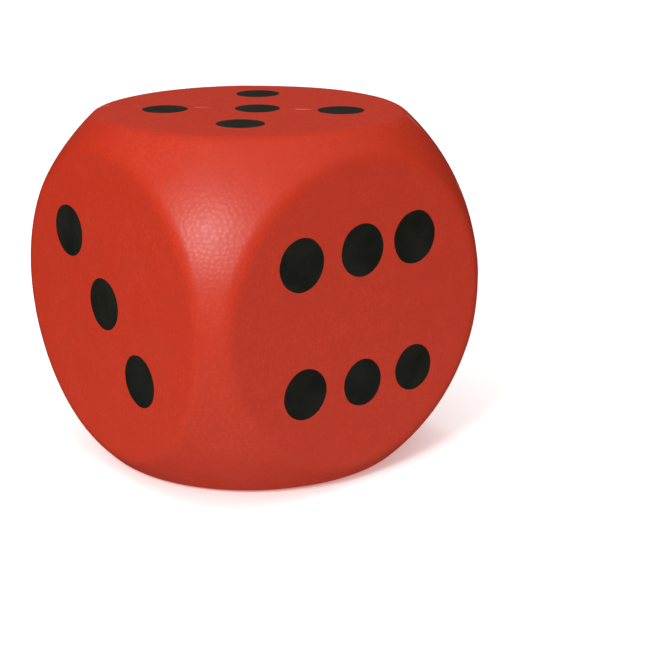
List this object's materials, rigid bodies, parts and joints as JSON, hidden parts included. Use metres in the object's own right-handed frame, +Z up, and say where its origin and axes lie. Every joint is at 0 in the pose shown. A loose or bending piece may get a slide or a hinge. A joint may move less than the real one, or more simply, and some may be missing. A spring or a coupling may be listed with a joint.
{
  "type": "giant soft play die",
  "caption": "Large soft foam play die with a grained red skin, ball-rounded edges and corners, six flat faces and black painted spots.",
  "frame": {"origin": "the middle of face two, which the die stands on, at floor level", "axes": "+Z up through face five, -Y through face six, -X through face three, +X through face four, +Y through face one"},
  "size_m": [0.3, 0.3, 0.3],
  "materials": {
    "red_skin": "satin grained elastomer skin",
    "foam": "open-cell foam",
    "spot_paint": "satin flexible paint"
  },
  "bodies": {
    "root": {"foam_core": "foam", "front_skin": "red_skin", "rear_skin": "red_skin", "spot_one": "spot_paint", "spot_two_a": "spot_paint", "spot_two_b": "spot_paint", "spot_three_a": "spot_paint", "spot_three_b": "spot_paint", "spot_three_c": "spot_paint", "spot_four_a": "spot_paint", "spot_four_b": "spot_paint", "spot_four_c": "spot_paint", "spot_four_d": "spot_paint", "spot_five_a": "spot_paint", "spot_five_b": "spot_paint", "spot_five_c": "spot_paint", "spot_five_d": "spot_paint", "spot_five_e": "spot_paint", "spot_six_a": "spot_paint", "spot_six_b": "spot_paint", "spot_six_c": "spot_paint", "spot_six_d": "spot_paint", "spot_six_e": "spot_paint", "spot_six_f": "spot_paint"}
  },
  "joints": []
}
